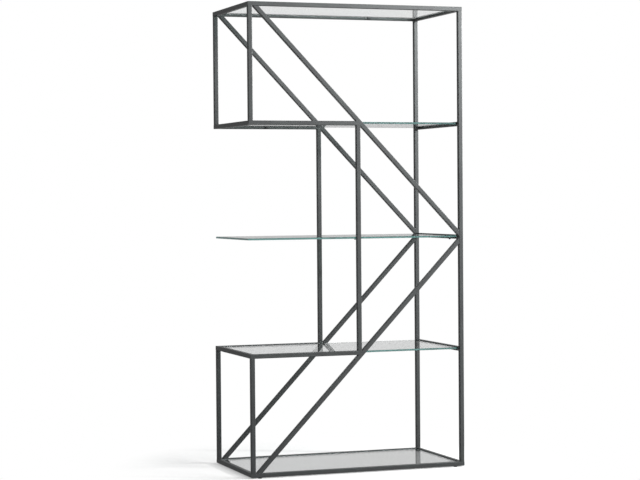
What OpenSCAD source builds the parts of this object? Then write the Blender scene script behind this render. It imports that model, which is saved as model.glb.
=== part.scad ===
// Etagere: a welded frame of square steel tube with five glass shelves. Four lie loose on tabs. The
// middle one overhangs to the left, so two studs bonded under its right end hold it down.
// Two flat frames, front and back, are joined by short side rails. Each flat frame is an outline
// with a box at the top left, a box at the bottom left and two long braces that meet at the
// middle of the right post. Millimetres, +Z up, front towards -Y, origin on the floor at the centre.

/* [Frame] */
// Width over the outer faces of the tubes
frame_w = 991; // [900:1:1100]
// Depth over the outer faces of the tubes
frame_d = 524; // [420:1:600]
// Height from the underside of the bottom ring to the top of the top ring
frame_h = 2032; // [1950:1:2150]
// Height of the top face of the lower shelf's rails above the underside of the frame
lower_rail = 529; // [480:1:580]
// Height of the top face of the middle shelf's rail above the underside of the frame
middle_rail = 1026; // [980:1:1060]
// Height of the top face of the upper shelf's rails above the underside of the frame
upper_rail = 1526; // [1480:1:1580]
// Distance from the left side of the frame to the centre of the middle posts
middle_post_in = 498.5; // [440:0.5:540]

/* [Tube] */
// Outside size of the square tube
tube = 19; // [18:0.5:25]
// Wall thickness of the tube
wall = 1.5; // [1:0.1:2]
// Outside corner radius of the tube
tube_r = 2.2; // [1.5:0.1:3]
// Gap between a brace's foot and the corner that it points into
brace_gap = 3; // [2:0.5:10]
// Half of the gap between the two braces where they meet the right post
brace_tip = 2.75; // [2.5:0.25:5]

/* [Glass] */
// Thickness of the glass
glass = 8; // [6:0.5:10]
// How far the top of the glass lies below the top of its rails
glass_drop = 3; // [2:0.5:3.5]
// Clearance between the glass and the tubes round it
glass_gap = 4; // [2:0.5:6]
// Polished chamfer round the edges of the glass
glass_bevel = 1; // [0.5:0.1:1.5]

/* [Glass supports] */
// Width of a steel tab along the tube that carries it
tab_w = 18; // [12:1:18]
// Reach of a tab under the glass, from the face of its tube
tab_reach = 24; // [20:1:30]
// Thickness of a tab
tab_t = 3; // [2:0.5:3]
// Radius of a tab's free corners
tab_r = 4; // [2:0.5:5]
// Distance of the side rails' tabs from the inner faces of the front and back frames
side_tab_in = 51; // [20:1:80]
// Distance of the long rails' tabs from the middle of the width
long_tab_x = 250; // [150:5:350]
// Diameter of a rubber pad
pad_d = 10; // [8:1:14]
// Thickness of a rubber pad
pad_t = 1; // [0.5:0.1:1]

/* [Studs of the middle glass] */
// Diameter of the steel disc that is bonded to the glass
disc_d = 14; // [10:1:16]
// Diameter of the stud on the disc
stud_d = 5; // [4:0.5:5]
// Height of a cap nut with its flange
cap_h = 6.5; // [5.5:0.5:7]
// Width of a cap nut across its flats
cap_w = 8; // [8:0.5:9]
// Diameter of a cap nut's flange
flange_d = 11; // [10.5:0.5:12]
// Thickness of a cap nut's flange
flange_t = 1.2; // [1:0.1:1.5]

/* [Levelling feet] */
// Distance of a foot from the side of the frame
foot_inset = 40; // [30:1:80]
// Diameter of a foot's plastic base
foot_d = 17; // [14:0.5:18]
// Height of a foot's base, which is the gap under the frame when the foot is screwed home
foot_h = 4; // [3:0.5:6]
// Diameter of a foot's steel stem
stem_d = 6; // [5:0.5:6]
// Length of the stem above the base
stem_l = 15; // [12:0.5:15]
// Depth of the stem's socket in the base
socket_t = 2.5; // [2:0.1:2.5]
// Width of a weld nut across its flats
nut_w = 10; // [9:0.5:12]
// Height of a weld nut
nut_h = 5; // [4:0.5:6]

/* [Hidden] */
$fn = 32;
eps = 1;                          // how far a cutting shape reaches past what it cuts
stem_play = 0.05;                 // radial play of a stem in its nut
hole_play = 0.4;                  // radial play of a stem in the tube wall
grip_n = 12;                      // flutes round a foot's base
grip_d = 2;                       // diameter of a flute
base_edge = 0.8;                  // chamfer round the bottom of a base
stud_in = 3.5;                    // how far a stud reaches into its cap nut
bore_end = 0.5;                   // from the stud's tip to the end of the nut's blind hole
crown_h = 2;                      // height of the nut's rounded end

left = -frame_w / 2;
right = frame_w / 2;
front = -frame_d / 2;
mid_x = left + middle_post_in;

ring_0 = foot_h;                  // underside of the bottom ring above the floor
bottom_z = ring_0 + tube;         // top faces of the rails, from the floor
lower_z = ring_0 + lower_rail;
middle_z = ring_0 + middle_rail;
upper_z = ring_0 + upper_rail;
top_z = ring_0 + frame_h;
waist_z = middle_z - tube / 2;    // height at which the two braces meet the right post
top_glass_z = top_z - glass_drop; // top faces of the glass
upper_glass_z = upper_z - glass_drop;
middle_glass_z = middle_z - glass_drop;
lower_glass_z = lower_z - glass_drop;
bottom_glass_z = bottom_z - glass_drop;

saddle = 0.7 * tube_r;            // how far a coped end runs up the rounded edge it sits on
face_y = front + tube;            // inner face of the front frame
inset = left + tube + glass_gap;  // left edge of the glass between rails
mid_l = mid_x - tube / 2;
mid_r = mid_x + tube / 2;

hexagon = 6;
foot_x = right - foot_inset;
foot_y = front + tube / 2;

// Section of the tube: a square with round corners, hollow unless solid is true
module section(solid) {
    difference() {
        union() {
            square([tube, tube - 2 * tube_r], center = true);
            square([tube - 2 * tube_r, tube], center = true);
            for (sx = [-1, 1], sy = [-1, 1])
                translate([sx, sy] * (tube / 2 - tube_r)) circle(tube_r);
        }
        if (!solid) square(tube - 2 * wall, center = true);
    }
}

// Straight tubes along each axis. The two fixed coordinates are those of the centre line.
module tube_x(x0, x1, y, z, solid) {
    translate([x0, y, z]) rotate([0, 90, 0]) linear_extrude(x1 - x0) section(solid);
}

module tube_y(x, y0, y1, z, solid) {
    translate([x, y0, z]) rotate([-90, 0, 0]) linear_extrude(y1 - y0) section(solid);
}

module tube_z(x, y, z0, z1, solid) {
    translate([x, y, z0]) linear_extrude(z1 - z0) section(solid);
}

// Everything above an outline in plan, and everything before and behind an outline in elevation
module in_plan(points) {
    translate([0, 0, -eps]) linear_extrude(top_z + 2 * eps) polygon(points);
}

module in_elevation(points) {
    rotate([90, 0, 0]) linear_extrude(frame_d + 2 * eps, center = true) polygon(points);
}

// The back frame is the front frame's mirror image
module behind() {
    mirror([0, 1, 0]) children();
}

// Long rail of a full ring, at the front, mitred at both ends. z is its top face.
module ring_front_rail(z, solid = false) {
    intersection() {
        tube_x(left - eps, right + eps, front + tube / 2, z - tube / 2, solid);
        in_plan([
            [left - eps, front - eps], [right + eps, front - eps],
            [right - tube - eps, face_y + eps], [left + tube + eps, face_y + eps]
        ]);
    }
}

// Side rail, mitred at both ends. side is -1 on the left and 1 on the right.
module ring_side_rail(side, z, solid = false) {
    outer = side * (right + eps);
    inner = side * (right - tube - eps);
    intersection() {
        tube_y(side * (right - tube / 2), front - eps, -front + eps, z - tube / 2, solid);
        in_plan([
            [outer, front - eps], [inner, face_y + eps],
            [inner, -face_y - eps], [outer, -front + eps]
        ]);
    }
}

// Long rail of one of the left boxes, at the front. Its left end is mitred to the side rail and its
// right end to the middle post, which goes down from the upper box and up from the lower one.
module box_front_rail(z, post_goes, solid = false) {
    near = post_goes > 0 ? z : z - tube;
    far = post_goes > 0 ? z - tube : z;
    difference() {
        intersection() {
            tube_x(left - eps, mid_r + eps, front + tube / 2, z - tube / 2, solid);
            in_plan([
                [left - eps, front - eps], [mid_r + 2 * eps, front - eps],
                [mid_r + 2 * eps, face_y + eps], [left + tube + eps, face_y + eps]
            ]);
            in_elevation([
                [left - 2 * eps, near + post_goes * eps], [mid_l - eps, near + post_goes * eps],
                [mid_r + eps, far - post_goes * eps], [left - 2 * eps, far - post_goes * eps]
            ]);
        }
        front_brace(-post_goes, true);
    }
}

// Brace in the front frame: up is 1 for the upper one, which falls to the right, and -1 for the
// lower one, which rises to the right. Its edge nearer the open left side runs from just beside
// a corner of the frame to the waist of the right post. Both ends are sawn flat.
module front_brace(up, solid = false) {
    start = [left + tube + brace_gap, up > 0 ? top_z - tube : bottom_z];
    end = [right - tube, waist_z + up * brace_tip];
    run = end[0] - start[0];
    rise = end[1] - start[1];
    past = 2 * tube;
    intersection() {
        translate([start[0], front + tube / 2, start[1]])
            rotate([0, -atan2(rise, run), 0])
                tube_x(-past, norm([run, rise]) + past, 0, up * tube / 2, solid);
        in_elevation([
            [left + tube, start[1]], [right - tube, start[1]],
            [right - tube, waist_z], [left + tube, waist_z]
        ]);
    }
}

module front_right_post() {
    difference() {
        tube_z(right - tube / 2, front + tube / 2, bottom_z - saddle, top_z - tube + saddle, false);
        for (z = [bottom_z, top_z]) {
            ring_front_rail(z, true);
            ring_side_rail(1, z, true);
        }
    }
}

module front_upper_left_post() {
    difference() {
        tube_z(left + tube / 2, front + tube / 2, upper_z - saddle, top_z - tube + saddle, false);
        ring_front_rail(top_z, true);
        box_front_rail(upper_z, -1, true);
        for (z = [upper_z, top_z]) ring_side_rail(-1, z, true);
    }
}

module front_lower_left_post() {
    difference() {
        tube_z(left + tube / 2, front + tube / 2, bottom_z - saddle, lower_z - tube + saddle, false);
        ring_front_rail(bottom_z, true);
        box_front_rail(lower_z, 1, true);
        for (z = [bottom_z, lower_z]) ring_side_rail(-1, z, true);
    }
}

// The middle post is mitred to the upper box's rail above and to the lower box's rail below, and
// both of its ends are coped against the braces
module front_middle_post() {
    difference() {
        intersection() {
            tube_z(mid_x, front + tube / 2, lower_z - tube - eps, upper_z + eps, false);
            in_elevation([
                [mid_l - eps, lower_z + eps], [mid_r + eps, lower_z - tube - eps],
                [mid_r + eps, upper_z + eps], [mid_l - eps, upper_z - tube - eps]
            ]);
        }
        for (up = [-1, 1]) front_brace(up, true);
    }
}

// Rail between the two right posts under the end of a shelf, coped to both
module right_shelf_rail(z) {
    reach = -face_y + saddle;
    difference() {
        tube_y(right - tube / 2, -reach, reach, z - tube / 2, false);
        for (side = [-1, 1])
            tube_z(right - tube / 2, side * (front + tube / 2), bottom_z, top_z - tube, true);
    }
}

// Front rail of the bottom ring, with a hole in its underside for each foot's stem
module front_bottom_rail() {
    difference() {
        ring_front_rail(bottom_z);
        for (side = [-1, 1])
            translate([side * foot_x, foot_y, ring_0 - eps])
                cylinder(r = stem_d / 2 + hole_play, h = wall + 2 * eps);
    }
}

// Rectangle with its four corners cut off
function cut_rectangle(x0, x1, y0, y1, c) = [
    [x0 + c, y0], [x1 - c, y0], [x1, y0 + c], [x1, y1 - c],
    [x1 - c, y1], [x0 + c, y1], [x0, y1 - c], [x0, y0 + c]
];

// Glass shelf with polished edges. z is its top face and x0 its left edge.
module glass_shelf(z, x0) {
    x1 = right - tube - glass_gap;
    y1 = -face_y - glass_gap;
    intersection() {
        linear_extrude(z + eps) polygon(cut_rectangle(x0, x1, -y1, y1, glass_bevel));
        in_elevation(cut_rectangle(x0, x1, z - glass, z, glass_bevel));
        rotate([90, 0, 90])
            linear_extrude(frame_w + 2 * eps, center = true)
                polygon(cut_rectangle(-y1, y1, z - glass, z, glass_bevel));
    }
}

// Places of the glass supports in plan: a point on the tube's inner face, and the turn that sends
// +Y from there under the glass
function side_spots(side) = [for (end = [-1, 1])
    [side * (right - tube), -end * (face_y + side_tab_in), side * 90]];

function long_spots(xs) = [for (x = xs, end = [-1, 1]) [x, -end * face_y, end < 0 ? 0 : 180]];

top_spots = concat(side_spots(-1), side_spots(1), long_spots([-long_tab_x, long_tab_x]));
box_spots = concat(side_spots(-1), side_spots(1), long_spots([-long_tab_x]));
stud_spots = side_spots(1);
post_spots = long_spots([mid_x]);

tab_edge = 3;                     // from a pad's rim to the end of its tab
pad_in = tab_reach - pad_d / 2 - tab_edge;

// Steel tab, welded by its straight edge, with its top face at z = 0
module tab() {
    translate([0, 0, -tab_t]) linear_extrude(tab_t) {
        translate([-tab_w / 2, 0]) square([tab_w, tab_reach - tab_r]);
        translate([-tab_w / 2 + tab_r, 0]) square([tab_w - 2 * tab_r, tab_reach]);
        for (side = [-1, 1])
            translate([side * (tab_w / 2 - tab_r), tab_reach - tab_r]) circle(tab_r);
    }
}

module at_spots(spots, z) {
    for (s = spots) translate([s[0], s[1], z]) rotate([0, 0, s[2]]) children();
}

// Tabs and pads of one shelf. z is the top face of its glass.
module tabs(spots, z) {
    at_spots(spots, z - glass - pad_t) tab();
}

module pads(spots, z) {
    at_spots(spots, z - glass - pad_t) translate([0, pad_in, 0]) cylinder(d = pad_d, h = pad_t);
}

// The right two of the middle shelf's tabs are drilled for the studs
module middle_tabs() {
    tabs(post_spots, middle_glass_z);
    difference() {
        tabs(stud_spots, middle_glass_z);
        at_spots(stud_spots, middle_glass_z - glass - pad_t - tab_t - eps)
            translate([0, pad_in, 0]) cylinder(r = stud_d / 2 + hole_play, h = tab_t + 2 * eps);
    }
}

// Disc bonded under the glass, in place of a pad, with a stud that goes down through the tab
module middle_studs() {
    at_spots(stud_spots, middle_glass_z - glass - pad_t)
        translate([0, pad_in, 0]) {
            cylinder(d = disc_d, h = pad_t);
            translate([0, 0, -tab_t - stud_in]) cylinder(d = stud_d, h = tab_t + stud_in);
        }
}

// Flanged cap nut on each stud, drawn tight against the underside of the tab
module cap_nuts() {
    r = cap_w / 2 - 0.1;
    at_spots(stud_spots, middle_glass_z - glass - pad_t - tab_t)
        translate([0, pad_in, 0]) mirror([0, 0, 1])
            difference() {
                union() {
                    cylinder(d = flange_d, h = flange_t);
                    cylinder(r = cap_w / 2 / cos(180 / hexagon), h = cap_h - crown_h, $fn = hexagon);
                    translate([0, 0, cap_h - crown_h])
                        rotate_extrude()
                            polygon([
                                [0, 0], [r, 0], [0.92 * r, 0.4 * crown_h],
                                [0.7 * r, 0.75 * crown_h], [0.38 * r, crown_h], [0, crown_h]
                            ]);
                }
                translate([0, 0, -eps])
                    cylinder(r = stud_d / 2 + stem_play, h = stud_in + bore_end + eps);
            }
}

module foot_nuts() {
    for (sx = [-1, 1], sy = [-1, 1])
        translate([sx * foot_x, sy * foot_y, ring_0 + wall])
            difference() {
                cylinder(r = nut_w / 2 / cos(180 / hexagon), h = nut_h, $fn = hexagon);
                translate([0, 0, -eps]) cylinder(r = stem_d / 2 + stem_play, h = nut_h + 2 * eps);
            }
}

// Steel stem of a foot. sx and sy say which corner: -1 is left or front.
module foot_stem(sx, sy) {
    translate([sx * foot_x, -sy * foot_y, foot_h - socket_t])
        cylinder(d = stem_d, h = stem_l + socket_t);
}

// Plastic base of a foot, fluted so that fingers can turn it
module foot_base(sx, sy) {
    r = foot_d / 2;
    translate([sx * foot_x, -sy * foot_y, 0])
        difference() {
            rotate_extrude()
                polygon([[0, 0], [r - base_edge, 0], [r, base_edge], [r, foot_h], [0, foot_h]]);
            translate([0, 0, foot_h - socket_t]) cylinder(d = stem_d, h = socket_t + eps);
            for (i = [0 : grip_n - 1])
                rotate([0, 0, i * 360 / grip_n])
                    translate([r + grip_d / 4, 0, -eps])
                        cylinder(d = grip_d, h = foot_h + 2 * eps, $fn = 16);
        }
}

module steel() { color([0.29, 0.295, 0.30]) children(); }
module clear_glass() { color([0.72, 0.83, 0.80, 0.45]) children(); }
module rubber() { color([0.12, 0.12, 0.12]) children(); }
module zinc() { color([0.62, 0.63, 0.65]) children(); }
module black_zinc() { color([0.17, 0.17, 0.18]) children(); }
module plastic() { color([0.09, 0.09, 0.095]) children(); }

steel() ring_front_rail(top_z);  // front_top_rail
steel() behind() ring_front_rail(top_z);  // back_top_rail
steel() ring_side_rail(-1, top_z);  // left_top_rail
steel() ring_side_rail(1, top_z);  // right_top_rail

steel() box_front_rail(upper_z, -1);  // front_upper_rail
steel() behind() box_front_rail(upper_z, -1);  // back_upper_rail
steel() ring_side_rail(-1, upper_z);  // left_upper_rail
steel() right_shelf_rail(upper_z);  // right_upper_rail

steel() right_shelf_rail(middle_z);  // right_middle_rail

steel() box_front_rail(lower_z, 1);  // front_lower_rail
steel() behind() box_front_rail(lower_z, 1);  // back_lower_rail
steel() ring_side_rail(-1, lower_z);  // left_lower_rail
steel() right_shelf_rail(lower_z);  // right_lower_rail

steel() front_bottom_rail();
steel() behind() front_bottom_rail();  // back_bottom_rail
steel() ring_side_rail(-1, bottom_z);  // left_bottom_rail
steel() ring_side_rail(1, bottom_z);  // right_bottom_rail

steel() front_right_post();
steel() behind() front_right_post();  // back_right_post
steel() front_upper_left_post();
steel() behind() front_upper_left_post();  // back_upper_left_post
steel() front_lower_left_post();
steel() behind() front_lower_left_post();  // back_lower_left_post
steel() front_middle_post();
steel() behind() front_middle_post();  // back_middle_post

steel() front_brace(1);  // front_upper_brace
steel() behind() front_brace(1);  // back_upper_brace
steel() front_brace(-1);  // front_lower_brace
steel() behind() front_brace(-1);  // back_lower_brace

clear_glass() glass_shelf(top_glass_z, inset);  // top_glass
clear_glass() glass_shelf(upper_glass_z, inset);  // upper_glass
clear_glass() glass_shelf(middle_glass_z, left);  // middle_glass
clear_glass() glass_shelf(lower_glass_z, inset);  // lower_glass
clear_glass() glass_shelf(bottom_glass_z, inset);  // bottom_glass

steel() tabs(top_spots, top_glass_z);  // top_tabs
steel() tabs(box_spots, upper_glass_z);  // upper_tabs
steel() middle_tabs();
steel() tabs(box_spots, lower_glass_z);  // lower_tabs
steel() tabs(top_spots, bottom_glass_z);  // bottom_tabs

rubber() pads(top_spots, top_glass_z);  // top_pads
rubber() pads(box_spots, upper_glass_z);  // upper_pads
rubber() pads(post_spots, middle_glass_z);  // middle_pads
rubber() pads(box_spots, lower_glass_z);  // lower_pads
rubber() pads(top_spots, bottom_glass_z);  // bottom_pads

black_zinc() middle_studs();
black_zinc() cap_nuts();  // middle_cap_nuts
zinc() foot_nuts();

zinc() foot_stem(-1, -1);  // front_left_foot_stem
zinc() foot_stem(1, -1);  // front_right_foot_stem
zinc() foot_stem(-1, 1);  // back_left_foot_stem
zinc() foot_stem(1, 1);  // back_right_foot_stem

plastic() foot_base(-1, -1);  // front_left_foot_base
plastic() foot_base(1, -1);  // front_right_foot_base
plastic() foot_base(-1, 1);  // back_left_foot_base
plastic() foot_base(1, 1);  // back_right_foot_base
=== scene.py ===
import math

import bpy
from mathutils import Matrix, Vector


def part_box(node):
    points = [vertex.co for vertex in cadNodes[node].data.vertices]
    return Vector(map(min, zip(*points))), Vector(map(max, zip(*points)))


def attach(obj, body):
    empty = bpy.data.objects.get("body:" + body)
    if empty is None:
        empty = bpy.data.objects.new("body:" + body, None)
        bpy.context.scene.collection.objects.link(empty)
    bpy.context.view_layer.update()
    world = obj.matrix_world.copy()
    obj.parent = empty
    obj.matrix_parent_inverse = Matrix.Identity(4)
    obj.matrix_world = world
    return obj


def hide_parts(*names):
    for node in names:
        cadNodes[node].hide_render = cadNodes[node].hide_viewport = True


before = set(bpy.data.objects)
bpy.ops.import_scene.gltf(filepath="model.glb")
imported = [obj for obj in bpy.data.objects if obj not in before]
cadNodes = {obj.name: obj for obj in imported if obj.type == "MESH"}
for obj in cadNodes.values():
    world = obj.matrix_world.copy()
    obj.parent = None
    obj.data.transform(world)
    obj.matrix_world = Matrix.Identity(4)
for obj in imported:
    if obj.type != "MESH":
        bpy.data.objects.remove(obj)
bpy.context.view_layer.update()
print(f"frame: {len(cadNodes)} nodes loaded")

millimetre = 0.001


def toLinear(hexColour):
    channels = [int(hexColour[i:i + 2], 16) / 255 for i in (1, 3, 5)]
    return [c / 12.92 if c <= 0.04045 else ((c + 0.055) / 1.055) ** 2.4 for c in channels] + [1.0]


def addNode(tree, kind, links=None, **settings):
    node = tree.nodes.new(kind)
    for name, value in settings.items():
        setattr(node, name, value)
    for socket, value in (links or {}).items():
        target = node.inputs[socket]
        if isinstance(value, bpy.types.NodeSocket):
            tree.links.new(value, target)
        else:
            target.default_value = value
    return node


def newMaterial(name):
    material = bpy.data.materials.new(name)
    material.use_nodes = True
    material.node_tree.nodes.clear()
    return material, material.node_tree


# Camera: the place and turn that lay the photographed frame's corners on the model's

cameraPlan = {
    "place": (-2.968, -8.045, 1.210),
    "yaw": 19.72,           # degrees to the right of straight ahead
    "pitch": -1.34,         # degrees above level
    "roll": -0.45,
    "focalPixels": 1919,    # for a picture 640 pixels wide
    "pictureWidth": 640,
    "sensor": 36,           # mm
    "farthest": 60,         # metres, past the floor's far edge
}


def makeCamera(plan):
    data = bpy.data.cameras.new("photoCamera")
    data.sensor_width = plan["sensor"]
    data.lens = plan["focalPixels"] / plan["pictureWidth"] * plan["sensor"]
    data.clip_end = plan["farthest"]
    camera = bpy.data.objects.new("photoCamera", data)
    turn = (Matrix.Rotation(-math.radians(plan["yaw"]), 4, "Z")
            @ Matrix.Rotation(math.radians(90 + plan["pitch"]), 4, "X")
            @ Matrix.Rotation(math.radians(plan["roll"]), 4, "Z"))
    camera.matrix_world = Matrix.Translation(plan["place"]) @ turn
    bpy.context.scene.collection.objects.link(camera)
    bpy.context.scene.camera = camera


makeCamera(cameraPlan)
print("camera: in place")


# Painted steel: gunmetal lacquer rubbed along the tube, so it has fine streaks that run its way

steelLook = {
    "dark": "#3B3F3F",
    "light": "#4B4D4D",
    "clouded": "#3F4041",
    "metallic": 0.55,
    "roughness": (0.38, 0.48),
    "streakWidth": 1.2,           # mm, coarser than the real 0.3 mm so that it shows
    "streakLength": 60,           # mm
    "streakSpan": (0.3, 0.7),     # part of the noise that runs from the dark to the light tone
    "streakGrain": {"Detail": 3.0, "Roughness": 0.6},
    "cloudSize": 120,             # mm, slow change of tone along a tube
    "cloudSpan": (0.4, 0.75),
    "cloudGrain": {"Detail": 2.0},
    "bumpDepth": 0.01,            # mm
}


def makeSteel(name, look, axis, tilt=0.0):
    material, tree = newMaterial(name)
    place = addNode(tree, "ShaderNodeTexCoord").outputs["Object"]
    turned = addNode(tree, "ShaderNodeMapping", {
        "Vector": place, "Rotation": (0, tilt, 0),
        "Scale": [1 / millimetre] * 3}).outputs["Vector"]
    stretch = [1 / look["streakWidth"]] * 3
    stretch[axis] = 1 / look["streakLength"]
    along = addNode(tree, "ShaderNodeMapping", {
        "Vector": turned, "Scale": stretch}).outputs["Vector"]
    streak = addNode(tree, "ShaderNodeTexNoise", {
        "Vector": along, "Scale": 1.0, **look["streakGrain"]}).outputs["Fac"]
    cloud = addNode(tree, "ShaderNodeTexNoise", {
        "Vector": turned, "Scale": 1 / look["cloudSize"], **look["cloudGrain"]}).outputs["Fac"]
    streakLow, streakHigh = look["streakSpan"]
    cloudLow, cloudHigh = look["cloudSpan"]
    smooth, rough = look["roughness"]
    tone = addNode(tree, "ShaderNodeMapRange", {
        "Value": streak, "From Min": streakLow, "From Max": streakHigh}).outputs["Result"]
    rubbed = addNode(tree, "ShaderNodeMix", {
        "Factor": tone, "A": toLinear(look["dark"]), "B": toLinear(look["light"])},
        data_type="RGBA").outputs["Result"]
    clouded = addNode(tree, "ShaderNodeMapRange", {
        "Value": cloud, "From Min": cloudLow, "From Max": cloudHigh}).outputs["Result"]
    colour = addNode(tree, "ShaderNodeMix", {
        "Factor": clouded, "A": rubbed, "B": toLinear(look["clouded"])},
        data_type="RGBA").outputs["Result"]
    roughness = addNode(tree, "ShaderNodeMapRange", {
        "Value": streak, "From Min": streakLow, "From Max": streakHigh,
        "To Min": smooth, "To Max": rough}).outputs["Result"]
    bump = addNode(tree, "ShaderNodeBump", {
        "Height": streak, "Strength": 1.0,
        "Distance": look["bumpDepth"] * millimetre}).outputs["Normal"]
    shader = addNode(tree, "ShaderNodeBsdfPrincipled", {
        "Base Color": colour, "Metallic": look["metallic"], "Roughness": roughness,
        "Normal": bump})
    addNode(tree, "ShaderNodeOutputMaterial", {"Surface": shader.outputs["BSDF"]})
    return material


# Clear float glass with polished edges: nearly colourless through its face, teal along its length.
# Light trapped between the faces comes out at the edges, so part of an edge is a teal of its own

glassLook = {
    "ior": 1.52,
    "tint": "#A8D9D7",      # colour that a long path takes on
    "density": 3.0,         # per metre
    "edge": "#9AC6C2",
    "edgeClear": 0.6,       # share of an edge that is seen through
    "edgeTurn": 0.9,        # upward part of the normal, below which a face is an edge
    "lampTint": "#E8ECEB",  # what the lamps lose at one face
}


def makeGlass(name, look):
    material, tree = newMaterial(name)
    facing = addNode(tree, "ShaderNodeTexCoord").outputs["Normal"]
    up = addNode(tree, "ShaderNodeSeparateXYZ", {"Vector": facing}).outputs["Z"]
    upward = addNode(tree, "ShaderNodeMath", {0: up}, operation="ABSOLUTE").outputs["Value"]
    edge = addNode(tree, "ShaderNodeMath", {
        0: upward, 1: look["edgeTurn"]}, operation="LESS_THAN").outputs["Value"]
    colour = addNode(tree, "ShaderNodeMix", {
        "Factor": edge, "A": (1, 1, 1, 1), "B": toLinear(look["edge"])}, data_type="RGBA")
    seenThrough = addNode(tree, "ShaderNodeMapRange", {
        "Value": edge, "To Min": 1.0, "To Max": look["edgeClear"]}).outputs["Result"]
    glass = addNode(tree, "ShaderNodeBsdfPrincipled", {
        "Base Color": colour.outputs["Result"], "Roughness": 0.0, "IOR": look["ior"],
        "Transmission Weight": seenThrough})
    clear = addNode(tree, "ShaderNodeBsdfTransparent", {"Color": toLinear(look["lampTint"])})
    rays = addNode(tree, "ShaderNodeLightPath")
    mixed = addNode(tree, "ShaderNodeMixShader", {
        0: rays.outputs["Is Shadow Ray"], 1: glass.outputs["BSDF"], 2: clear.outputs["BSDF"]})
    body = addNode(tree, "ShaderNodeVolumeAbsorption", {
        "Color": toLinear(look["tint"]), "Density": look["density"]})
    addNode(tree, "ShaderNodeOutputMaterial", {
        "Surface": mixed.outputs["Shader"], "Volume": body.outputs["Volume"]})
    return material


# Small parts, each with a fine speckle. Rubber is matt and nearly black. Zinc plate is a pale grey
# metal with a soft shine, and black zinc a dark one. Moulded nylon is black with a faint sheen

plainLooks = {      # grain and bumpDepth in mm
    "blackRubber": {"dark": "#1B1C1C", "light": "#242526", "metallic": 0.0,
                    "roughness": (0.6, 0.75), "grain": 0.4, "bumpDepth": 0.02},
    "zincPlate": {"dark": "#9A9C9F", "light": "#B6B8BA", "metallic": 1.0,
                  "roughness": (0.25, 0.4), "grain": 0.3, "bumpDepth": 0.01},
    "blackZincPlate": {"dark": "#1E1F22", "light": "#2B2C30", "metallic": 0.6,
                       "roughness": (0.3, 0.45), "grain": 0.3, "bumpDepth": 0.01},
    "mouldedNylon": {"dark": "#17181A", "light": "#202123", "metallic": 0.0,
                     "roughness": (0.45, 0.6), "grain": 0.35, "bumpDepth": 0.03},
}


def makePlain(name, look):
    material, tree = newMaterial(name)
    place = addNode(tree, "ShaderNodeTexCoord").outputs["Object"]
    scaled = addNode(tree, "ShaderNodeMapping", {
        "Vector": place, "Scale": [1 / (look["grain"] * millimetre)] * 3}).outputs["Vector"]
    speckle = addNode(tree, "ShaderNodeTexNoise", {
        "Vector": scaled, "Scale": 1.0, "Detail": 2.0}).outputs["Fac"]
    tone = addNode(tree, "ShaderNodeMix", {
        "Factor": speckle, "A": toLinear(look["dark"]), "B": toLinear(look["light"])},
        data_type="RGBA").outputs["Result"]
    smooth, rough = look["roughness"]
    roughness = addNode(tree, "ShaderNodeMapRange", {
        "Value": speckle, "To Min": smooth, "To Max": rough}).outputs["Result"]
    bump = addNode(tree, "ShaderNodeBump", {
        "Height": speckle, "Distance": look["bumpDepth"] * millimetre}).outputs["Normal"]
    shader = addNode(tree, "ShaderNodeBsdfPrincipled", {
        "Base Color": tone, "Metallic": look["metallic"], "Roughness": roughness,
        "Normal": bump})
    addNode(tree, "ShaderNodeOutputMaterial", {"Surface": shader.outputs["BSDF"]})
    return material


braceTilt = {}
for which in ("upper", "lower"):
    low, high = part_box(f"front_{which}_brace")
    braceTilt[which] = math.atan2(high.z - low.z, high.x - low.x)

steelX = makeSteel("gunmetalAlongX", steelLook, 0)
steelY = makeSteel("gunmetalAlongY", steelLook, 1)
steelZ = makeSteel("gunmetalAlongZ", steelLook, 2)
steelDown = makeSteel("gunmetalDownBrace", steelLook, 0, -braceTilt["upper"])
steelUp = makeSteel("gunmetalUpBrace", steelLook, 0, braceTilt["lower"])
glass = makeGlass("floatGlass", glassLook)
rubber, zinc, blackZinc, nylon = [makePlain(name, look) for name, look in plainLooks.items()]

finishes = [    # ends of node names, of which the first that fits counts
    (("_glass",), glass),
    (("_pads",), rubber),
    (("_stem", "foot_nuts"), zinc),
    (("middle_studs", "middle_cap_nuts"), blackZinc),
    (("_base",), nylon),
    (("_post",), steelZ),
    (("upper_brace",), steelDown),
    (("lower_brace",), steelUp),
]


def finishOf(node):
    for endings, finish in finishes:
        if node.endswith(endings):
            return finish
    sideRail = node.startswith(("left_", "right_")) and node.endswith("_rail")
    return steelY if sideRail else steelX


for node, piece in cadNodes.items():
    piece.data.materials.clear()
    piece.data.materials.append(finishOf(node))
print("materials: set on every node")


# Rippled weld beads, laid by Geometry Nodes along short lines

beadPlan = {
    "radius": 1.3 * millimetre,
    "pitch": 1.5 * millimetre,
    "flat": 0.75,            # how far a ripple is squeezed along its line
    "spread": 0.12,          # how much the ripples differ in size
    "seed": 7,
    "ball": {"Segments": 6, "Rings": 4},     # few faces, because ripples are many
}


def newTree(name, sockets):
    tree = bpy.data.node_groups.new(name, "GeometryNodeTree")
    keys = {}
    for label, kind in sockets:
        socket = tree.interface.new_socket(label, in_out="INPUT", socket_type=kind)
        keys[label] = socket.identifier
    tree.interface.new_socket("Result", in_out="OUTPUT", socket_type="NodeSocketGeometry")
    return tree, keys


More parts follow.
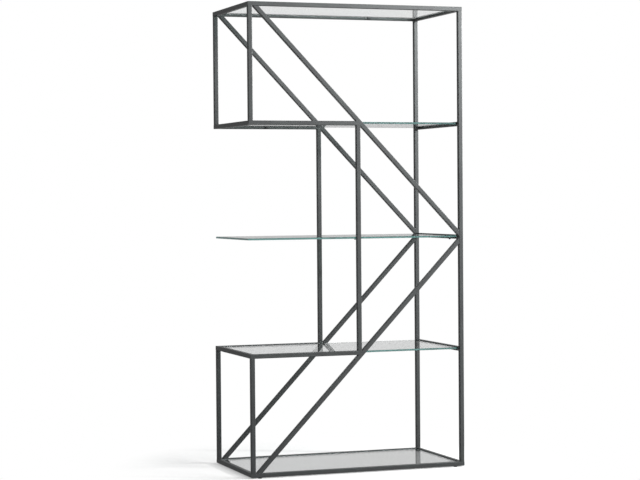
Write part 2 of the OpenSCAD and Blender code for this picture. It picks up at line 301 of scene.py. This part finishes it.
def beadTree(plan):
    tree, keys = newTree("weldBead", [
        ("Lines", "NodeSocketGeometry"), ("Radius", "NodeSocketFloat"),
        ("Pitch", "NodeSocketFloat"), ("Flat", "NodeSocketFloat"),
        ("Spread", "NodeSocketFloat"), ("Seed", "NodeSocketInt"),
        ("Finish", "NodeSocketMaterial")])
    given = addNode(tree, "NodeGroupInput").outputs
    points = addNode(tree, "GeometryNodeCurveToPoints", {
        "Curve": given["Lines"], "Length": given["Pitch"]}, mode="LENGTH").outputs
    ball = addNode(tree, "GeometryNodeMeshUVSphere", {
        "Radius": given["Radius"], **plan["ball"]}).outputs["Mesh"]
    smallest = addNode(tree, "ShaderNodeMath", {0: 1.0, 1: given["Spread"]}, operation="SUBTRACT")
    largest = addNode(tree, "ShaderNodeMath", {0: 1.0, 1: given["Spread"]}, operation="ADD")
    size = addNode(tree, "FunctionNodeRandomValue", {
        "Min": smallest.outputs["Value"], "Max": largest.outputs["Value"], "Seed": given["Seed"]},
        data_type="FLOAT").outputs["Value"]
    squeeze = addNode(tree, "ShaderNodeMath", {0: size, 1: given["Flat"]}, operation="MULTIPLY")
    shape = addNode(tree, "ShaderNodeCombineXYZ", {
        "X": size, "Y": size, "Z": squeeze.outputs["Value"]}).outputs["Vector"]
    ripples = addNode(tree, "GeometryNodeInstanceOnPoints", {
        "Points": points["Points"], "Instance": ball, "Rotation": points["Rotation"],
        "Scale": shape}).outputs["Instances"]
    real = addNode(tree, "GeometryNodeRealizeInstances", {"Geometry": ripples}).outputs["Geometry"]
    smooth = addNode(tree, "GeometryNodeSetShadeSmooth", {"Geometry": real}).outputs["Geometry"]
    done = addNode(tree, "GeometryNodeSetMaterial", {
        "Geometry": smooth, "Material": given["Finish"]}).outputs["Geometry"]
    addNode(tree, "NodeGroupOutput", {"Result": done})
    return tree, keys


def bakeNodes(name, start, tree, keys, values, body):
    modifier = start.modifiers.new("build", "NODES")
    modifier.node_group = tree
    for label, value in values.items():
        modifier[keys[label]] = value
    bpy.context.view_layer.update()
    seen = start.evaluated_get(bpy.context.evaluated_depsgraph_get())
    mesh = bpy.data.meshes.new_from_object(seen)
    bpy.data.objects.remove(start)
    piece = bpy.data.objects.new(name, mesh)
    mesh.name = name
    bpy.context.scene.collection.objects.link(piece)
    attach(piece, body)
    return piece


def lineCurve(name, lines):
    data = bpy.data.curves.new(name, "CURVE")
    data.dimensions = "3D"
    for start, end in lines:
        spline = data.splines.new("POLY")
        spline.points.add(1)
        for point, place in zip(spline.points, (start, end)):
            point.co = (*place, 1)
    obj = bpy.data.objects.new(name, data)
    bpy.context.scene.collection.objects.link(obj)
    return obj


weldPlan = {
    "tubeRound": 2.2 * millimetre,   # corner radius of the tube
    "sideTabIn": 51 * millimetre,    # tabs of the side rails, from the front and back frames
    "longTabX": 250 * millimetre,    # tabs of the long rails, from the middle of the width
    "tabHalf": 8 * millimetre,       # half of a bead's length on a tab
}

postLow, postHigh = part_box("front_right_post")
midLow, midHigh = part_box("front_middle_post")
tube = postHigh.x - postLow.x
faceX = postLow.x                    # inner faces of the side posts, left and right
outerX = postHigh.x
faceY, outerY = -postHigh.y, -postLow.y
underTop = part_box("front_top_rail")[0].z
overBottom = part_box("front_bottom_rail")[1].z


def braceEdge(which):      # left end of one edge, its slope, and the way along Z to the other edge
    low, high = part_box(f"front_{which}_brace")
    start, end = (high.z, low.z) if which == "upper" else (low.z, high.z)
    slope = (end - start) / (high.x - low.x)
    stretch = math.copysign(tube * math.hypot(1, slope), -slope)
    return low.x, start, slope, stretch


def acrossFrame(x, z):
    inset = weldPlan["tubeRound"]
    return [((x, side * (outerY - inset), z), (x, side * (faceY + inset), z)) for side in (-1, 1)]


def acrossSide(side, z):
    inset = weldPlan["tubeRound"]
    ends = side * (faceX + inset), side * (outerX - inset)
    return [((ends[0], y, z), (ends[1], y, z)) for y in (-faceY, faceY)]


def jointLines():
    lines = []
    for which, ringZ, shelf in (("upper", underTop, "upper"), ("lower", overBottom, "lower")):
        footX, footZ, slope, stretch = braceEdge(which)
        shelfLow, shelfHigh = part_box(f"front_{shelf}_rail")
        near, far = (shelfHigh.z, shelfLow.z) if which == "upper" else (shelfLow.z, shelfHigh.z)
        postZ = footZ + slope * (faceX - footX)
        corners = [
            (footX, footZ), (footX - stretch / slope, footZ),            # brace on the ring
            (faceX, postZ), (faceX, postZ + stretch),                    # brace on the right post
            (-faceX, ringZ), (-faceX, near),                             # left post, both ends
            (footX + (near - footZ) / slope, near),                      # shelf rail on brace
            (midLow.x, far),                                             # rail and middle post
            (midHigh.x, footZ + slope * (midHigh.x - footX)),            # middle post on the brace
            (faceX, ringZ),                                              # right post on the ring
        ]
        for x, z in corners:
            lines += acrossFrame(x, z)
        lines += acrossSide(-1, ringZ) + acrossSide(-1, near) + acrossSide(1, ringZ)
    for rail in ("right_upper_rail", "right_middle_rail", "right_lower_rail"):
        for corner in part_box(rail):
            lines += acrossSide(1, corner.z)
    return lines


def tabLines():
    half, longX = weldPlan["tabHalf"], weldPlan["longTabX"]
    sideY = faceY - weldPlan["sideTabIn"]
    middleX = (midLow.x + midHigh.x) / 2
    sides = {"middle": (1,)}     # 1 right, -1 left, and both on the other shelves
    rails = {"top": (-longX, longX), "bottom": (-longX, longX), "middle": (middleX,)}
    lines = []
    for shelf in ("top", "upper", "middle", "lower", "bottom"):
        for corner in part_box(f"{shelf}_tabs"):
            z = corner.z
            for side in sides.get(shelf, (-1, 1)):
                for y in (-sideY, sideY):
                    lines.append(((side * faceX, y - half, z), (side * faceX, y + half, z)))
            for x in rails.get(shelf, (-longX,)):
                for y in (-faceY, faceY):
                    lines.append(((x - half, y, z), (x + half, y, z)))
    return lines


weldTree, weldKeys = beadTree(beadPlan)
weldValues = {key.capitalize(): beadPlan[key]
              for key in ("radius", "pitch", "flat", "spread", "seed")}
weldValues["Finish"] = steelZ
for pieceName, lines in (("joint_welds", jointLines()), ("tab_welds", tabLines())):
    bakeNodes(pieceName, lineCurve(pieceName + "_lines", lines), weldTree, weldKeys, weldValues,
              "frame")
print("welds: beads laid at the joints and the tabs")


# Rolled threads on the feet's stems

threadPlan = {
    "radius": 3.0 * millimetre,
    "depth": 0.55 * millimetre,
    "pitch": 1.0 * millimetre,
    "sides": 32,              # of one turn and of the core
    "ridgeSides": 4,          # a square, half of it sunk in the core
}


def threadTree(plan):
    tree, keys = newTree("rolledThread", [
        ("Start", "NodeSocketGeometry"), ("Radius", "NodeSocketFloat"),
        ("Depth", "NodeSocketFloat"), ("Pitch", "NodeSocketFloat"),
        ("Length", "NodeSocketFloat"), ("Sides", "NodeSocketInt"),
        ("Place", "NodeSocketVector"), ("Finish", "NodeSocketMaterial")])
    given = addNode(tree, "NodeGroupInput").outputs
    turns = addNode(tree, "ShaderNodeMath", {
        0: given["Length"], 1: given["Pitch"]}, operation="DIVIDE")
    pathRadius = addNode(tree, "ShaderNodeMath", {
        0: given["Radius"], 1: given["Depth"]}, operation="SUBTRACT").outputs["Value"]
    path = addNode(tree, "GeometryNodeCurveSpiral", {
        "Resolution": given["Sides"], "Rotations": turns.outputs["Value"],
        "Start Radius": pathRadius, "End Radius": pathRadius, "Height": given["Length"]})
    ridge = addNode(tree, "GeometryNodeCurvePrimitiveCircle", {
        "Resolution": plan["ridgeSides"], "Radius": given["Depth"]}, mode="RADIUS")
    thread = addNode(tree, "GeometryNodeCurveToMesh", {
        "Curve": path.outputs["Curve"], "Profile Curve": ridge.outputs["Curve"],
        "Fill Caps": True})
    core = addNode(tree, "GeometryNodeMeshCylinder", {
        "Vertices": given["Sides"], "Radius": pathRadius,
        "Depth": given["Length"]}).outputs["Mesh"]
    half = addNode(tree, "ShaderNodeMath", {0: given["Length"], 1: 2.0}, operation="DIVIDE")
    lift = addNode(tree, "ShaderNodeCombineXYZ", {"Z": half.outputs["Value"]}).outputs["Vector"]
    raised = addNode(tree, "GeometryNodeTransform", {"Geometry": core, "Translation": lift})
    both = addNode(tree, "GeometryNodeJoinGeometry")
    for part in (thread.outputs["Mesh"], raised.outputs["Geometry"]):
        tree.links.new(part, both.inputs["Geometry"])
    placed = addNode(tree, "GeometryNodeTransform", {
        "Geometry": both.outputs["Geometry"], "Translation": given["Place"]}).outputs["Geometry"]
    real = addNode(tree, "GeometryNodeRealizeInstances", {"Geometry": placed}).outputs["Geometry"]
    done = addNode(tree, "GeometryNodeSetMaterial", {
        "Geometry": real, "Material": given["Finish"]}).outputs["Geometry"]
    addNode(tree, "NodeGroupOutput", {"Result": done})
    return tree, keys


stemTree, stemKeys = threadTree(threadPlan)
for corner in ("front_left", "front_right", "back_left", "back_right"):
    low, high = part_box(f"{corner}_foot_stem")
    values = {key.capitalize(): threadPlan[key] for key in ("radius", "depth", "pitch", "sides")}
    values["Length"] = high.z - low.z - threadPlan["depth"]
    values["Place"] = (low.x + high.x) / 2, (low.y + high.y) / 2, low.z
    values["Finish"] = zinc
    stem = bakeNodes(f"{corner}_thread", lineCurve("stemStart", []), stemTree, stemKeys, values,
                     f"{corner}_foot")
    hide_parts(f"{corner}_foot_stem")
print("feet: threads cut")


# Studio: a pale floor that keeps the shadow and is open from below, a surround that is dark to the
# left, and soft lamps. Brightness is 1 for white

studioPlan = {
    "floorSize": 60.0,
    "floorColour": "#D8D8D8",
    "floorLift": 0.37,       # brightness that the camera sees added to the lit floor
    "floorSeen": 0.75,       # share of the lit floor that the camera sees
    "floorFade": (0.62, 1.05),       # metres from the middle over which the floor turns white, and its painted shadow in glass and metal fades out
    "floorMirroredPaintedShade": (0.32, 0.80, 0.67),   # in a reflection: near (a painted shadow of the object), far in front, far behind
    "floorThroughPaintedShadow": 0.50,    # brightness through glass near the middle, a painted shadow of the object
    "surround": "#FFFFFF",
    "leftToRight": (-0.05, 0.25),    # X of a direction where dark ends and where pale begins
    "frontToBack": (0.0, 0.5),       # Y of a direction, likewise from the front to the back
    "mirrored": (0.36, 0.74, 0.55),  # in a reflection: left, front right, back right
    "light": (0.32, 0.62),           # what falls on the object: from the left, from the right
    "through": 1.0,          # brightness through glass
    "lamps": [
        # name, place, size in metres, watts
        ("sideLamp", (5.0, -2.1, 2.6), (0.3, 0.3), 380),
        ("frontLamp", (2.4, -3.4, 2.9), (1.2, 1.2), 145),
        ("topLamp", (0.0, -0.5, 5.0), (3.0, 3.0), 90),
    ],
    "aim": (0, 0, 1.0),
}


def across(tree, direction, axis, limits, values):
    unit = addNode(tree, "ShaderNodeVectorMath", {
        0: direction}, operation="NORMALIZE").outputs["Vector"]
    turn = addNode(tree, "ShaderNodeSeparateXYZ", {"Vector": unit}).outputs[axis]
    return addNode(tree, "ShaderNodeMapRange", {
        "Value": turn, "From Min": limits[0], "From Max": limits[1], "To Min": values[0],
        "To Max": values[1]}, interpolation_type="SMOOTHSTEP").outputs["Result"]


def mirroredTone(tree, direction, plan, left, front, back):
    right = across(tree, direction, "Y", plan["frontToBack"], (front, back))
    return across(tree, direction, "X", plan["leftToRight"], (left, right))


def floorForCamera(tree, plan, matt, fade):     # lit, with its shadow, and white farther off
    black = addNode(tree, "ShaderNodeEmission", {"Strength": 0.0}).outputs["Emission"]
    lift = addNode(tree, "ShaderNodeEmission", {
        "Strength": plan["floorLift"]}).outputs["Emission"]
    white = addNode(tree, "ShaderNodeEmission", {"Strength": 1.0}).outputs["Emission"]
    share = addNode(tree, "ShaderNodeMixShader", {
        0: plan["floorSeen"], 1: black, 2: matt}).outputs["Shader"]
    lit = addNode(tree, "ShaderNodeAddShader", {0: share, 1: lift}).outputs["Shader"]
    return addNode(tree, "ShaderNodeMixShader", {0: fade, 1: lit, 2: white}).outputs["Shader"]


def paintedFloorForGlass(tree, plan, place, fade, seenThrough):     # through it, and mirrored in it: an emission with a painted shadow near the middle
    # the near tones are a painted shadow of the object; farther off the floor is darker to the
    # left, painted shade like the surround's
    near, front, back = plan["floorMirroredPaintedShade"]
    farther = mirroredTone(tree, place, plan, plan["mirrored"][0], front, back)
    mirrored = addNode(tree, "ShaderNodeMix", {
        "Factor": fade, "A": near, "B": farther}).outputs["Result"]
    through = addNode(tree, "ShaderNodeMix", {
        "Factor": fade, "A": plan["floorThroughPaintedShadow"], "B": plan["through"]}).outputs["Result"]
    bright = addNode(tree, "ShaderNodeMix", {
        "Factor": seenThrough, "A": mirrored, "B": through}).outputs["Result"]
    return addNode(tree, "ShaderNodeEmission", {"Strength": bright}).outputs["Emission"]


def floorMaterial(plan):
    material, tree = newMaterial("paleFloor")
    matt = addNode(tree, "ShaderNodeBsdfDiffuse", {
        "Color": toLinear(plan["floorColour"])}).outputs["BSDF"]
    place = addNode(tree, "ShaderNodeTexCoord").outputs["Object"]
    distance = addNode(tree, "ShaderNodeVectorMath", {
        0: place}, operation="LENGTH").outputs["Value"]
    fade = addNode(tree, "ShaderNodeMapRange", {
        "Value": distance, "From Min": plan["floorFade"][0], "From Max": plan["floorFade"][1]},
        interpolation_type="SMOOTHSTEP").outputs["Result"]
    rays = addNode(tree, "ShaderNodeLightPath").outputs
    glossy, refracted = rays["Is Glossy Ray"], rays["Is Transmission Ray"]
    byGlass = addNode(tree, "ShaderNodeMath", {
        0: glossy, 1: refracted}, operation="MAXIMUM").outputs["Value"]
    others = addNode(tree, "ShaderNodeMixShader", {
        0: byGlass, 1: matt, 2: paintedFloorForGlass(tree, plan, place, fade, refracted)})
    floor = addNode(tree, "ShaderNodeMixShader", {
        0: rays["Is Camera Ray"], 1: others.outputs["Shader"],
        2: floorForCamera(tree, plan, matt, fade)}).outputs["Shader"]
    below = addNode(tree, "ShaderNodeNewGeometry").outputs["Backfacing"]
    nothing = addNode(tree, "ShaderNodeBsdfTransparent").outputs["BSDF"]
    oneSided = addNode(tree, "ShaderNodeMixShader", {0: below, 1: floor, 2: nothing})
    addNode(tree, "ShaderNodeOutputMaterial", {"Surface": oneSided.outputs["Shader"]})
    return material


def makeFloor(plan):
    half = plan["floorSize"] / 2
    corners = [(-half, -half, 0), (half, -half, 0), (half, half, 0), (-half, half, 0)]
    mesh = bpy.data.meshes.new("floor")
    mesh.from_pydata(corners, [], [(0, 1, 2, 3)])
    mesh.materials.append(floorMaterial(plan))
    floor = bpy.data.objects.new("floor", mesh)
    bpy.context.scene.collection.objects.link(floor)


def makeSurround(plan):
    world = bpy.data.worlds.new("surround")
    world.use_nodes = True
    tree = world.node_tree
    tree.nodes.clear()
    direction = addNode(tree, "ShaderNodeTexCoord").outputs["Generated"]
    rays = addNode(tree, "ShaderNodeLightPath").outputs
    strength = across(tree, direction, "X", plan["leftToRight"], plan["light"])
    seen = (("Is Glossy Ray", mirroredTone(tree, direction, plan, *plan["mirrored"])),
            ("Is Transmission Ray", plan["through"]), ("Is Camera Ray", 1.0))
    for kind, brightness in seen:
        strength = addNode(tree, "ShaderNodeMix", {
            "Factor": rays[kind], "A": strength, "B": brightness}).outputs["Result"]
    background = addNode(tree, "ShaderNodeBackground", {
        "Color": toLinear(plan["surround"]), "Strength": strength})
    addNode(tree, "ShaderNodeOutputWorld", {"Surface": background.outputs["Background"]})
    bpy.context.scene.world = world


def allButGlass():      # lit by the lamps, because lit glass throws bright specks on the steel
    spared = bpy.data.collections.new("sparedGlass")
    for node, piece in cadNodes.items():
        if node.endswith("_glass"):
            spared.objects.link(piece)
    for member in spared.collection_objects:
        member.light_linking.link_state = "EXCLUDE"
    return spared


def makeLamps(plan):
    aim = Vector(plan["aim"])
    lit = allButGlass()
    for name, place, size, watts in plan["lamps"]:
        data = bpy.data.lights.new(name, "AREA")
        data.shape = "RECTANGLE"
        data.size, data.size_y = size
        data.energy = watts
        lamp = bpy.data.objects.new(name, data)
        lamp.location = place
        lamp.rotation_euler = (aim - Vector(place)).to_track_quat("-Z", "Y").to_euler()
        lamp.light_linking.receiver_collection = lit
        bpy.context.scene.collection.objects.link(lamp)


makeFloor(studioPlan)
makeSurround(studioPlan)
makeLamps(studioPlan)
bpy.context.scene.view_settings.view_transform = "Standard"
print("studio: floor, surround and lamps made")
